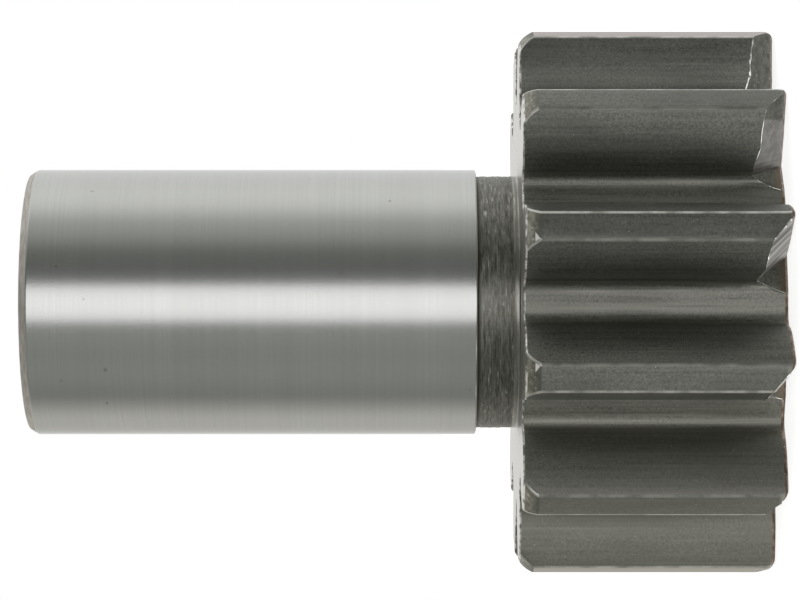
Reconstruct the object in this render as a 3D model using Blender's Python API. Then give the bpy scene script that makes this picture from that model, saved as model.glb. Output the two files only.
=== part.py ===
"""Starter pinion gear: one piece of steel with a ground shank, a narrower neck and twelve teeth.

It stands on the outer end of its teeth, with the shank upwards. The origin is the middle of
that end face, +Z runs along the shaft line, and every length is in metres.
"""

import math

import bmesh
import bpy
from mathutils import Matrix, Vector

MM = 0.001

# Teeth
TEETH = 12
MODULE = 3.0 * MM
PRESSURE_ANGLE = math.radians(14.5)
PROFILE_SHIFT = 0.55
TIP_HEIGHT_IN_MODULES = 1.3
ROOT_DEPTH_IN_MODULES = 1.22
ROOT_FILLET = 1.0 * MM
FACE_WIDTH = 20.1 * MM

# Edges of the teeth; the front end meets the ring gear, and the back end faces the shank
TIP_EDGE_BREAK = 0.08 * MM
FRONT_EDGE_BREAK = 0.3 * MM
BACK_EDGE_BREAK = 0.12 * MM
FRONT_TIP_ROUND = 0.7 * MM
BACK_TIP_CHAMFER = 1.15 * MM
BACK_TIP_CROWN = 0.15 * MM

# Lead-in cut on one flank of every tooth, at the front end. Its foot, ridge and crest each run
# straight from a point on the front face to a point on the flank.
LEAD_IN_REACH_AT_FOOT = 2.45 * MM
LEAD_IN_REACH_AT_RIDGE = 2.05 * MM
LEAD_IN_REACH_AT_TIP = 1.7 * MM
LEAD_IN_FOOT_SHORT_OF_MIDDLE = 0.5 * MM
LEAD_IN_RIDGE_SHORT_OF_MIDDLE = 0.1 * MM
LEAD_IN_CREST_PAST_MIDDLE = 1.0 * MM
LEAD_IN_DIG_BELOW_ROOT = 0.6 * MM
LEAD_IN_FOOT_ABOVE_ROOT = 0.6 * MM
LEAD_IN_RIDGE_ABOVE_ROOT_AT_FACE = 1.9 * MM
LEAD_IN_RIDGE_ABOVE_ROOT_AT_FLANK = 3.2 * MM

# Neck and shank
NECK_DIAMETER = 20.2 * MM
NECK_LENGTH = 3.3 * MM
NECK_FILLET = 0.3 * MM
SHANK_DIAMETER = 21.25 * MM
SHANK_LENGTH = 35.65 * MM
SHOULDER_CHAMFER = 0.15 * MM
SHANK_CHAMFER_LENGTH = 0.65 * MM
SHANK_CHAMFER_DEPTH = 0.4 * MM

# Bore
BORE_DIAMETER = 14.0 * MM
BORE_CHAMFER = 0.6 * MM

# Facets
TURN_STEPS = 84
ROUND_STEPS = 4
ROOT_STEPS = 2
FILLET_STEPS = 4
FLANK_STEPS = 8
CROWN_STEPS = 3
LEAD_IN_STEPS = 6

# How far a cutter runs past the material
CUTTER_OVERRUN = 0.2 * MM

# Sizes that follow from the ones above
TOOTH_PITCH = 2 * math.pi / TEETH
PITCH_RADIUS = MODULE * TEETH / 2
BASE_RADIUS = PITCH_RADIUS * math.cos(PRESSURE_ANGLE)
TIP_RADIUS = PITCH_RADIUS + MODULE * TIP_HEIGHT_IN_MODULES
ROOT_RADIUS = PITCH_RADIUS - MODULE * (ROOT_DEPTH_IN_MODULES - PROFILE_SHIFT)
SHOULDER_HEIGHT = FACE_WIDTH + NECK_LENGTH
TOTAL_LENGTH = SHOULDER_HEIGHT + SHANK_LENGTH


def clear_scene():
    for thing in list(bpy.data.objects):
        bpy.data.objects.remove(thing, do_unlink=True)


def steel(name, colour, roughness):
    """A bare steel finish: linear colour, full metallic."""
    material = bpy.data.materials.new(name)
    material.use_nodes = True
    shader = material.node_tree.nodes["Principled BSDF"]
    shader.inputs["Base Color"].default_value = (*colour, 1.0)
    shader.inputs["Metallic"].default_value = 1.0
    shader.inputs["Roughness"].default_value = roughness
    return material


def polar(radius, angle):
    return Vector((radius * math.cos(angle), radius * math.sin(angle)))


def arc(centre, radius, start, end, steps):
    """Points on an arc, both ends included."""
    return [centre + polar(radius, start + (end - start) * i / steps) for i in range(steps + 1)]


def object_from(name, mesh_maker):
    """A new scene object whose mesh is made by mesh_maker."""
    mesh = bpy.data.meshes.new(name)
    shape = bmesh.new()
    mesh_maker(shape)
    bmesh.ops.recalc_face_normals(shape, faces=shape.faces)
    shape.to_mesh(mesh)
    shape.free()
    thing = bpy.data.objects.new(name, mesh)
    bpy.context.scene.collection.objects.link(thing)
    return thing


def loft(shape, sections):
    """Skins closed sections of equally many points, and caps both ends."""
    rings = [[shape.verts.new(point) for point in section] for section in sections]
    count = len(rings[0])
    for lower, upper in zip(rings, rings[1:]):
        for i in range(count):
            j = (i + 1) % count
            shape.faces.new((lower[i], lower[j], upper[j], upper[i]))
    shape.faces.new(list(reversed(rings[0])))
    shape.faces.new(rings[-1])


# Turned blank

def crowned_chamfer():
    """The chamfer on the tips at the back, as (radius, height) points of a slightly bulging line."""
    start = Vector((TIP_RADIUS, FACE_WIDTH - BACK_TIP_CHAMFER))
    end = Vector((TIP_RADIUS - BACK_TIP_CHAMFER, FACE_WIDTH))
    outward = Vector((1, 1)).normalized() * BACK_TIP_CROWN
    shares = [i / CROWN_STEPS for i in range(CROWN_STEPS + 1)]
    return [start.lerp(end, share) + outward * 4 * share * (1 - share) for share in shares]


def turned_outline():
    """Half section of the blank as (radius, height) points, anticlockwise round the material."""
    bore = BORE_DIAMETER / 2
    neck = NECK_DIAMETER / 2
    shank = SHANK_DIAMETER / 2
    quarter = math.pi / 2
    round_centre = Vector((TIP_RADIUS - FRONT_TIP_ROUND, FRONT_TIP_ROUND))
    fillet_centre = Vector((neck + NECK_FILLET, FACE_WIDTH + NECK_FILLET))
    return [
        Vector((bore, BORE_CHAMFER)),
        Vector((bore + BORE_CHAMFER, 0)),
        *arc(round_centre, FRONT_TIP_ROUND, -quarter, 0, ROUND_STEPS),
        *crowned_chamfer(),
        *arc(fillet_centre, NECK_FILLET, -quarter, -2 * quarter, ROUND_STEPS),
        Vector((neck, SHOULDER_HEIGHT)),
        Vector((shank - SHOULDER_CHAMFER, SHOULDER_HEIGHT)),
        Vector((shank, SHOULDER_HEIGHT + SHOULDER_CHAMFER)),
        Vector((shank, TOTAL_LENGTH - SHANK_CHAMFER_LENGTH)),
        Vector((shank - SHANK_CHAMFER_DEPTH, TOTAL_LENGTH)),
        Vector((bore + BORE_CHAMFER, TOTAL_LENGTH)),
        Vector((bore, TOTAL_LENGTH - BORE_CHAMFER)),
    ]


def make_blank(shape):
    """Spins the half section once round the shaft line.

    It starts half a facet from +X, so that no edge runs along the middle of a tooth space.
    """
    half_facet = math.pi / TURN_STEPS
    points = [
        shape.verts.new((*polar(radius, half_facet), height))
        for radius, height in turned_outline()
    ]
    edges = [shape.edges.new((points[i - 1], points[i])) for i in range(len(points))]
    bmesh.ops.spin(
        shape,
        geom=points + edges,
        cent=(0, 0, 0),
        axis=(0, 0, 1),
        angle=2 * math.pi,
        steps=TURN_STEPS,
        use_merge=True,
    )


# Tooth spaces

def involute(angle):
    return math.tan(angle) - angle


def half_tooth(radius):
    """Half the angle that a tooth fills at this radius."""
    at_pitch = (math.pi / 2 + 2 * PROFILE_SHIFT * math.tan(PRESSURE_ANGLE)) / TEETH
    pressure = math.acos(min(1.0, BASE_RADIUS / radius))
    return at_pitch + involute(PRESSURE_ANGLE) - involute(pressure)


def half_space(radius, offset=0.0):
    """Half the angle of the gap at this radius, with both flanks cut back by offset.

    A curve parallel to an involute is the same involute, turned by offset over the base radius.
    """
    return TOOTH_PITCH / 2 - half_tooth(radius) + offset / BASE_RADIUS


def flank_radii(first, last):
    """Radii up a flank, spaced evenly along the string that unwinds the involute."""
    start = math.sqrt(max(0.0, first**2 - BASE_RADIUS**2))
    end = math.sqrt(last**2 - BASE_RADIUS**2)
    return [
        math.hypot(BASE_RADIUS, start + (end - start) * i / FLANK_STEPS)
        for i in range(FLANK_STEPS + 1)
    ]


def half_space_outline(offset):
    """One side of a tooth space that is centred on +X, from the root's middle past the tip."""
    root = ROOT_RADIUS - offset
    fillet = ROOT_FILLET + offset
    centre_radius = root + fillet
    foot = math.sqrt(centre_radius**2 - fillet**2)
    if foot < BASE_RADIUS:
        # The fillet meets the straight radial line below the involute.
        centre_angle = half_space(BASE_RADIUS, offset) - math.asin(fillet / centre_radius)
        contact = polar(foot, half_space(BASE_RADIUS, offset))
        flank_start = BASE_RADIUS
    else:
        # The fillet meets the involute itself.
        centre_angle = half_space(centre_radius, offset - fillet)
        string = math.sqrt(centre_radius**2 - BASE_RADIUS**2) - fillet
        flank_start = math.hypot(BASE_RADIUS, string)
        contact = polar(flank_start, half_space(flank_start, offset))
    centre = polar(centre_radius, centre_angle)
    to_contact = contact - centre
    arc_start = centre_angle + math.pi
    arc_end = math.atan2(to_contact.y, to_contact.x) % (2 * math.pi)

    points = [polar(root, centre_angle * i / ROOT_STEPS) for i in range(ROOT_STEPS)]
    points += arc(centre, fillet, arc_start, arc_end, FILLET_STEPS)
    edge = TIP_RADIUS - TIP_EDGE_BREAK
    flank = [polar(radius, half_space(radius, offset)) for radius in flank_radii(flank_start, edge)]
    points += flank if foot < BASE_RADIUS else flank[1:]

    # The edge break leans equally to the flank and to the tip, and runs on past the tip.
    flank_lean = math.acos(BASE_RADIUS / TIP_RADIUS)
    lean = (flank_lean + math.pi / 2) / 2
    rise = TIP_EDGE_BREAK + CUTTER_OVERRUN
    edge_angle = half_space(edge, offset)
    points.append(
        points[-1]
        + polar(rise, edge_angle)
        + polar(rise * math.tan(lean), edge_angle + math.pi / 2)
    )
    return points


def space_outline(offset):
    """The whole outline of a tooth space, closed by an apex well outside the tips."""
    side = half_space_outline(offset)
    last = side[-1]
    apex = Vector((last.length**2 / last.x, 0))
    mirrored = [Vector((point.x, -point.y)) for point in reversed(side[1:])]
    return mirrored + side + [apex]


def make_tooth_spaces(shape):
    """Every tooth space as a straight cutter, flared at both ends to break the end edges."""
    levels = [
        (-CUTTER_OVERRUN, FRONT_EDGE_BREAK + CUTTER_OVERRUN),
        (FRONT_EDGE_BREAK, 0.0),
        (FACE_WIDTH - BACK_EDGE_BREAK, 0.0),
        (FACE_WIDTH + CUTTER_OVERRUN, BACK_EDGE_BREAK + CUTTER_OVERRUN),
    ]
    sections = [
        [Vector((*point, height)) for point in space_outline(offset)] for height, offset in levels
    ]
    for k in range(TEETH):
        turn = Matrix.Rotation(k * TOOTH_PITCH, 3, "Z")
        loft(shape, [[turn @ point for point in section] for section in sections])


# Lead-in cuts

def on_flank(radius):
    """The flank at this radius, in a frame where +X runs up the middle of the tooth."""
    return polar(radius, -half_tooth(radius))


def lead_in_section(height):
    """Section of the lead-in cutter at this height above the front end.

    Its wall runs from foot over ridge to crest, and on past the tip. Its floor runs from the
    foot to the middle of the gap, just above the root.
    """
    foot = Vector((ROOT_RADIUS - LEAD_IN_DIG_BELOW_ROOT, -LEAD_IN_FOOT_SHORT_OF_MIDDLE)).lerp(
        on_flank(ROOT_RADIUS + LEAD_IN_FOOT_ABOVE_ROOT), height / LEAD_IN_REACH_AT_FOOT
    )
    ridge = Vector(
        (ROOT_RADIUS + LEAD_IN_RIDGE_ABOVE_ROOT_AT_FACE, -LEAD_IN_RIDGE_SHORT_OF_MIDDLE)
    ).lerp(
        on_flank(ROOT_RADIUS + LEAD_IN_RIDGE_ABOVE_ROOT_AT_FLANK), height / LEAD_IN_REACH_AT_RIDGE
    )
    crest = Vector((TIP_RADIUS, LEAD_IN_CREST_PAST_MIDDLE)).lerp(
        on_flank(TIP_RADIUS), height / LEAD_IN_REACH_AT_TIP
    )
    past_tip = crest + (crest - ridge).normalized() * FRONT_TIP_ROUND
    gap_middle = -TOOTH_PITCH / 2
    floor_end = polar(ROOT_RADIUS + CUTTER_OVERRUN, gap_middle)
    gap_top = polar(TIP_RADIUS / math.cos(gap_middle), gap_middle)
    return [Vector((*point, height)) for point in (foot, ridge, past_tip, gap_top, floor_end)]


def make_lead_ins(shape):
    """One lofted cutter for each tooth, from below the front end to past the flank."""
    reach = max(LEAD_IN_REACH_AT_FOOT, LEAD_IN_REACH_AT_RIDGE, LEAD_IN_REACH_AT_TIP)
    span = reach + 2 * CUTTER_OVERRUN
    heights = [-CUTTER_OVERRUN + span * i / LEAD_IN_STEPS for i in range(LEAD_IN_STEPS + 1)]
    sections = [lead_in_section(height) for height in heights]
    for k in range(TEETH):
        turn = Matrix.Rotation((k + 0.5) * TOOTH_PITCH, 3, "Z")
        loft(shape, [[turn @ point for point in section] for section in sections])


# The part

def cut(thing, name, maker):
    """Takes a cutter, which stays in the file as a wire helper, out of the part."""
    cutter = object_from(name, maker)
    cutter.hide_render = True
    cutter.display_type = "WIRE"
    step = thing.modifiers.new(name, "BOOLEAN")
    step.operation = "DIFFERENCE"
    step.solver = "MANIFOLD"
    step.object = cutter
    step.material_mode = "TRANSFER"
    return cutter


def finish_surfaces(pinion, cutters):
    """The shank is ground bright, and the gear keeps the dark skin of its heat treatment."""
    ground = steel("ground_steel", (0.56, 0.57, 0.56), 0.25)
    dark = steel("heat_treated_steel", (0.16, 0.16, 0.15), 0.42)
    pinion.data.materials.append(ground)
    pinion.data.materials.append(dark)
    for face in pinion.data.polygons:
        face.material_index = 0 if face.center.z > SHOULDER_HEIGHT else 1
    for cutter in cutters:
        cutter.data.materials.append(dark)
    for thing in (pinion, *cutters):
        thing.data.shade_smooth()
        thing.data.set_sharp_from_angle(angle=math.radians(25))


def main():
    clear_scene()
    pinion = object_from("starter_pinion_gear", make_blank)
    spaces = cut(pinion, "tooth_space_cutters", make_tooth_spaces)
    lead_ins = cut(pinion, "lead_in_cutters", make_lead_ins)
    finish_surfaces(pinion, (spaces, lead_ins))


main()
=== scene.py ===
# %% [markdown]
# # A starter pinion in ground and heat-treated steel
#
# A starter pinion is one piece of steel. It is turned on a lathe, its teeth are cut with a
# hob, a slanted lead-in is milled on one flank of every tooth, the whole is heat treated, and
# the shank is ground bright last. So one mesh carries several finishes, and each finish tells
# which tool touched the steel there.
#
# The cells below model the piece as one skin of rings, cut the lead-ins out of it, dress each
# zone in its own steel, and light it as a studio would light a bright cylinder.

# %% Load the frame
import math

import bmesh
import bpy
from mathutils import Matrix, Vector, noise


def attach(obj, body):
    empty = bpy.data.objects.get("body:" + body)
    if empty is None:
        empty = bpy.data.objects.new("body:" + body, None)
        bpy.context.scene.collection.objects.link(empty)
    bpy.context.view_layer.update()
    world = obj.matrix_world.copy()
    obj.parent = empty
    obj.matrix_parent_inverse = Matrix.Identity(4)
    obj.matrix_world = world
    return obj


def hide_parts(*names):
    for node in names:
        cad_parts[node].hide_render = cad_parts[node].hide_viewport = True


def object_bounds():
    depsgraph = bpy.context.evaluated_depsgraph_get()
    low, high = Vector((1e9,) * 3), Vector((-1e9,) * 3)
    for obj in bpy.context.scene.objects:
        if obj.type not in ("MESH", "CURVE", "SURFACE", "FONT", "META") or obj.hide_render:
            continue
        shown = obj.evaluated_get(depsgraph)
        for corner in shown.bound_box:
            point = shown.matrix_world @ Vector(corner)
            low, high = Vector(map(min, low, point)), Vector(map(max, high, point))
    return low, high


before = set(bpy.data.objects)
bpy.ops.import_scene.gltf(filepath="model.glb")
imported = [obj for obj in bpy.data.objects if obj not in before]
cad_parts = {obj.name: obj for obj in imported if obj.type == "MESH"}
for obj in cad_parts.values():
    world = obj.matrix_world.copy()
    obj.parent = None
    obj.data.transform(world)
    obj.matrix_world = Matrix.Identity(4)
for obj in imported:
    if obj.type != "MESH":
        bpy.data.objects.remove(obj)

NODE = "starter_pinion_gear"
cad_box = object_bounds()
print("frame:", [round(side * 1000, 2) for side in cad_box[1] - cad_box[0]], "mm")

# %% [markdown]
# ## Sizes
#
# The heights come from the frame. The tooth is an involute one, so a module, a tooth count and
# a pressure angle say almost everything about it, and the rest are small edges that a gear
# maker would write on the drawing. Blender works in metres here, so millimetres are named once.

# %% Driving sizes
MM = 0.001

TEETH = 12
MODULE = 3.0 * MM
PRESSURE_ANGLE = math.radians(14.5)
PROFILE_SHIFT = 0.55
TIP_HEIGHT_IN_MODULES = 1.3
ROOT_DEPTH_IN_MODULES = 1.22
ROOT_FILLET = 1.0 * MM
FACE_WIDTH = 20.1 * MM
NECK_LENGTH = 3.3 * MM
NECK_RADIUS = 10.1 * MM
SHANK_RADIUS = 10.625 * MM
BORE_RADIUS = 7.0 * MM
TOTAL_LENGTH = cad_box[1].z

PITCH_ANGLE = 2 * math.pi / TEETH
PITCH_RADIUS = MODULE * TEETH / 2
BASE_RADIUS = PITCH_RADIUS * math.cos(PRESSURE_ANGLE)
TIP_RADIUS = PITCH_RADIUS + MODULE * TIP_HEIGHT_IN_MODULES
ROOT_RADIUS = PITCH_RADIUS - MODULE * (ROOT_DEPTH_IN_MODULES - PROFILE_SHIFT)
SHOULDER_HEIGHT = FACE_WIDTH + NECK_LENGTH
print("tip circle", round(TIP_RADIUS * 2 / MM, 2), "mm")
print("root circle", round(ROOT_RADIUS * 2 / MM, 2), "mm")

# %% [markdown]
# ## One tooth, as a list of points
#
# A section through the gear repeats every thirty degrees, and each repeat mirrors about the
# middle of its tooth. So only half a tooth is worked out: half of the root land, the fillet
# that the hob's rounded corner leaves, the involute flank, a small rounded edge, and half of
# the tip land. Every section has as many points as the next, so they can be skinned as rings.

# %% Half a tooth
ROOT_STEPS = 2
FILLET_STEPS = 6
FLANK_STEPS = 12
EDGE_STEPS = 3
TIP_STEPS = 3
TIP_EDGE_ROUND = 0.12 * MM


def polar(radius, angle):
    return Vector((radius * math.cos(angle), radius * math.sin(angle)))


def involute(angle):
    return math.tan(angle) - angle


def half_tooth(radius):
    """Half the angle that a tooth fills at this radius."""
    at_pitch = (math.pi / 2 + 2 * PROFILE_SHIFT * math.tan(PRESSURE_ANGLE)) / TEETH
    pressure = math.acos(min(1.0, BASE_RADIUS / radius))
    return at_pitch + involute(PRESSURE_ANGLE) - involute(pressure)


def half_space(radius, offset):
    """Half the angle of the gap at this radius, with both flanks cut back by offset."""
    return PITCH_ANGLE / 2 - half_tooth(radius) + offset / BASE_RADIUS


def half_outline(tip, offset):
    """Points from the middle of a gap to the middle of the next tooth."""
    root = ROOT_RADIUS - offset
    fillet = ROOT_FILLET + offset
    centre_radius = root + fillet
    foot_angle = half_space(BASE_RADIUS, offset)
    centre_angle = foot_angle - math.asin(fillet / centre_radius)
    centre = polar(centre_radius, centre_angle)
    foot = polar(math.sqrt(centre_radius**2 - fillet**2), foot_angle)
    if foot.length > BASE_RADIUS:
        centre_angle = half_space(centre_radius, offset - fillet)
        centre = polar(centre_radius, centre_angle)
        start = math.hypot(BASE_RADIUS, math.sqrt(centre_radius**2 - BASE_RADIUS**2) - fillet)
        foot = polar(start, half_space(start, offset))
    to_foot = foot - centre
    arc_start = centre_angle + math.pi
    arc_end = math.atan2(to_foot.y, to_foot.x) % (2 * math.pi)

    points = [polar(root, centre_angle * i / ROOT_STEPS) for i in range(ROOT_STEPS)]
    for i in range(FILLET_STEPS + 1):
        points.append(centre + polar(fillet, arc_start + (arc_end - arc_start) * i / FILLET_STEPS))
    string_start = math.sqrt(max(0.0, foot.length**2 - BASE_RADIUS**2))
    string_end = math.sqrt((tip - TIP_EDGE_ROUND) ** 2 - BASE_RADIUS**2)
    for i in range(1, FLANK_STEPS + 1):
        string = string_start + (string_end - string_start) * i / FLANK_STEPS
        radius = math.hypot(BASE_RADIUS, string)
        points.append(polar(radius, half_space(radius, offset)))

    below = points[-1]
    corner = polar(tip, half_space(tip, offset))
    leg = (corner - below).length
    beyond = polar(tip, half_space(tip, offset) + leg / tip)
    for i in range(1, EDGE_STEPS + 1):
        t = i / EDGE_STEPS
        points.append(below * (1 - t) ** 2 + corner * 2 * t * (1 - t) + beyond * t**2)
    land_start = math.atan2(beyond.y, beyond.x)
    for i in range(1, TIP_STEPS + 1):
        points.append(polar(tip, land_start + (PITCH_ANGLE / 2 - land_start) * i / TIP_STEPS))
    return points


HALF_COUNT = len(half_outline(TIP_RADIUS, 0.0)) - 1
RING_COUNT = 2 * HALF_COUNT * TEETH
print("points on a ring:", RING_COUNT)

# %% [markdown]
# ## Rings
#
# A toothed ring turns the half tooth into the whole gear outline. A round ring puts the same
# points on a circle, each on the same spoke as on the gear, so that a round ring and a toothed
# ring can be joined with no twist. That one rule lets the skin run from the bore across the
# toothed face, up the teeth, and on to the round shank.

# %% Toothed rings and round rings
FRONT_EDGE_ROUND = 0.3 * MM
HOLD = 0.03 * MM


def toothed_ring(height, tip=TIP_RADIUS, offset=0.0):
    """The gear's outline at this height, with its tips at radius tip and its flanks cut back."""
    half = half_outline(tip, offset)
    pitch = half[:-1] + [
        polar(point.length, PITCH_ANGLE - math.atan2(point.y, point.x))
        for point in reversed(half[1:])
    ]
    ring = []
    for k in range(TEETH):
        turn = Matrix.Rotation(k * PITCH_ANGLE, 2)
        ring += [Vector((*(turn @ point), height)) for point in pitch]
    return ring


SPOKES = [
    math.atan2(point.y, point.x)
    for point in toothed_ring(0.0, TIP_RADIUS, FRONT_EDGE_ROUND + HOLD)
]


def round_ring(height, radius):
    """A circle at this height. The radius may be a function of the angle."""
    if callable(radius):
        return [Vector((*polar(radius(spoke), spoke), height)) for spoke in SPOKES]
    return [Vector((*polar(radius, spoke), height)) for spoke in SPOKES]


def quarter(steps):
    """Sine and one minus cosine over a quarter turn, for rounded edges."""
    angles = [math.pi / 2 * i / steps for i in range(steps + 1)]
    return [(math.sin(angle), 1 - math.cos(angle)) for angle in angles]


# %% [markdown]
# ## The stations, from the bore round to the bore again
#
# The list below reads like a lathe hand's notes. It walks once round the section of the piece:
# out across the front face, over the rounded front edge, up the teeth, over the chamfered tips
# at the back, in across the back face, along the neck with its coarse feed marks, over the
# shoulder, up the ground shank, over its end and down the bore. Each station also names the
# finish of the steel between it and the station before.
#
# Small rings close beside an edge hold the shading flat right up to it.

# %% Stations of the gear
FRONT_TIP_ROUND = 0.7 * MM
BACK_EDGE_ROUND = 0.14 * MM
BACK_TIP_CHAMFER = 1.15 * MM
BACK_TIP_CROWN = 0.15 * MM
BACK_TIP_BLEND = 0.12 * MM
BORE_CHAMFER = 0.6 * MM
EDGE_ROUND = 0.08 * MM
ARC_STEPS = 4
FRONT_TIP_STEPS = 5
FRONT_FACE_RINGS = (9.0 * MM, 12.0 * MM)
BACK_FACE_RING = 13.0 * MM

stations = []


def station(ring, finish):
    stations.append((ring, finish))


def front_tip(height):
    """The tip radius near the front end, where the corner is rounded."""
    left = max(0.0, FRONT_TIP_ROUND - height)
    return TIP_RADIUS - FRONT_TIP_ROUND + math.sqrt(FRONT_TIP_ROUND**2 - left**2)


def front_cut(height):
    """How far the front edge of the outline is rounded back at this height."""
    left = max(0.0, FRONT_EDGE_ROUND - height)
    return FRONT_EDGE_ROUND - math.sqrt(FRONT_EDGE_ROUND**2 - left**2)


station(round_ring(BORE_CHAMFER, BORE_RADIUS), "bored")
station(round_ring(0.0, BORE_RADIUS + BORE_CHAMFER), "bored")
for radius in (*FRONT_FACE_RINGS, ROOT_RADIUS - 2 * FRONT_EDGE_ROUND):
    station(round_ring(0.0, radius), "front")
station(toothed_ring(0.0, front_tip(0.0) - HOLD, FRONT_EDGE_ROUND + HOLD), "front")
front_heights = sorted(
    [FRONT_EDGE_ROUND * rise for _, rise in quarter(ARC_STEPS)]
    + [FRONT_TIP_ROUND * rise for _, rise in quarter(FRONT_TIP_STEPS)[1:]]
)
for height in front_heights:
    finish = "rim" if height <= FRONT_EDGE_ROUND else "tooth"
    station(toothed_ring(height, front_tip(height), front_cut(height)), finish)
station(toothed_ring(FRONT_TIP_ROUND + HOLD), "tooth")

MIDDLE_STEPS = 6
middle_start = FRONT_TIP_ROUND + HOLD
middle_end = FACE_WIDTH - BACK_TIP_CHAMFER - BACK_TIP_BLEND
for i in range(1, MIDDLE_STEPS + 1):
    station(toothed_ring(middle_start + (middle_end - middle_start) * i / MIDDLE_STEPS), "tooth")


CROWN_RADIUS = BACK_TIP_CHAMFER**2 / (4 * BACK_TIP_CROWN) + BACK_TIP_CROWN / 2
CROWN_INSET = BACK_TIP_CHAMFER / 2 + (CROWN_RADIUS - BACK_TIP_CROWN) / math.sqrt(2)


def back_tip(height):
    """The tip radius near the back end: a chamfer that bulges a little, on an arc."""
    into = height - (FACE_WIDTH - BACK_TIP_CHAMFER)
    if into <= -BACK_TIP_BLEND:
        return TIP_RADIUS
    along = height - (FACE_WIDTH - CROWN_INSET)
    arc = TIP_RADIUS - CROWN_INSET + math.sqrt(CROWN_RADIUS**2 - along**2)
    share = min(1.0, (into + BACK_TIP_BLEND) / (2 * BACK_TIP_BLEND))
    return min(arc, TIP_RADIUS) * share**2 + TIP_RADIUS * (1 - share**2)


BACK_STEPS = 10
back_heights = [
    middle_end + (FACE_WIDTH - BACK_EDGE_ROUND - middle_end) * i / BACK_STEPS
    for i in range(1, BACK_STEPS + 1)
]
for height in back_heights:
    finish = "corner" if back_tip(height) < TIP_RADIUS - HOLD else "tooth"
    station(toothed_ring(height, back_tip(height)), finish)
for across, rise in quarter(ARC_STEPS)[1:]:
    height = FACE_WIDTH - BACK_EDGE_ROUND * (1 - across)
    station(toothed_ring(height, back_tip(height), BACK_EDGE_ROUND * rise), "brink")
station(toothed_ring(FACE_WIDTH, back_tip(FACE_WIDTH) - HOLD, BACK_EDGE_ROUND + HOLD), "back")
print("stations on the gear:", len(stations))

# %% [markdown]
# ## The neck and its feed marks
#
# The neck was only turned: nobody ground it. The lathe tool left rings of unequal depth, which
# come and go round the neck, because the tool chatters. A smooth neck with a bump map would
# show no broken outline, so the marks are real here: the rings stand closer than a tenth of a
# millimetre, and a noise that is fine along the neck and slow round it moves each point.

# %% Stations of the neck and the shank
NECK_FILLET = 0.12 * MM
NECK_STEP = 0.075 * MM
FEED_MARK_DEPTH = 0.035 * MM
FEED_MARKS_PER_METRE = 1 / (0.42 * MM)
MARKS_ROUND = 1.3
FINE_MARKS_ROUND = 2.6
FINE_MARKS_ALONG = 2.7
FINE_SHARE = 0.5
SHOULDER_CHAMFER = 0.15 * MM
SHANK_CHAMFER_LENGTH = 0.65 * MM
SHANK_CHAMFER_DEPTH = 0.4 * MM


def neck_radius(height):
    """A function of the angle: the neck's radius with its feed marks."""
    def at(spoke):
        level = height * FEED_MARKS_PER_METRE
        coarse = noise.noise(Vector((*polar(MARKS_ROUND, spoke), level)))
        fine = noise.noise(Vector((*polar(FINE_MARKS_ROUND, spoke), level * FINE_MARKS_ALONG)))
        return NECK_RADIUS + FEED_MARK_DEPTH * (coarse + FINE_SHARE * fine)
    return at


station(round_ring(FACE_WIDTH, ROOT_RADIUS - 2 * BACK_EDGE_ROUND), "back")
station(round_ring(FACE_WIDTH, BACK_FACE_RING), "back")
station(round_ring(FACE_WIDTH, NECK_RADIUS + NECK_FILLET + HOLD), "back")
for across, rise in quarter(ARC_STEPS):
    station(
        round_ring(FACE_WIDTH + NECK_FILLET * rise, NECK_RADIUS + NECK_FILLET * (1 - across)),
        "neck",
    )
neck_start = FACE_WIDTH + NECK_FILLET
neck_steps = int((SHOULDER_HEIGHT - neck_start) / NECK_STEP)
for i in range(1, neck_steps):
    height = neck_start + (SHOULDER_HEIGHT - neck_start) * i / neck_steps
    station(round_ring(height, neck_radius(height)), "neck")
station(round_ring(SHOULDER_HEIGHT - HOLD, NECK_RADIUS), "neck")
station(round_ring(SHOULDER_HEIGHT, NECK_RADIUS + HOLD), "neck")
station(round_ring(SHOULDER_HEIGHT, SHANK_RADIUS - SHOULDER_CHAMFER - HOLD), "neck")
station(round_ring(SHOULDER_HEIGHT, SHANK_RADIUS - SHOULDER_CHAMFER), "neck")
for across, rise in quarter(ARC_STEPS)[1:]:
    station(
        round_ring(
            SHOULDER_HEIGHT + SHOULDER_CHAMFER * rise,
            SHANK_RADIUS - SHOULDER_CHAMFER * (1 - across),
        ),
        "ground",
    )
station(round_ring(SHOULDER_HEIGHT + SHOULDER_CHAMFER + HOLD, SHANK_RADIUS), "ground")

SHANK_STEPS = 6
ground_start = SHOULDER_HEIGHT + SHOULDER_CHAMFER + HOLD
ground_end = TOTAL_LENGTH - SHANK_CHAMFER_LENGTH - EDGE_ROUND - HOLD
for i in range(1, SHANK_STEPS + 1):
    height = ground_start + (ground_end - ground_start) * i / SHANK_STEPS
    station(round_ring(height, SHANK_RADIUS), "ground")


def soft_corner(before, corner, after, size, steps=3):
    """Points of a small rounded corner in a (radius, height) outline."""
    start = corner + (before - corner).normalized() * size
    end = corner + (after - corner).normalized() * size
    points = []
    for i in range(steps + 1):
        t = i / steps
        points.append(start * (1 - t) ** 2 + corner * 2 * t * (1 - t) + end * t**2)
    return points


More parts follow.
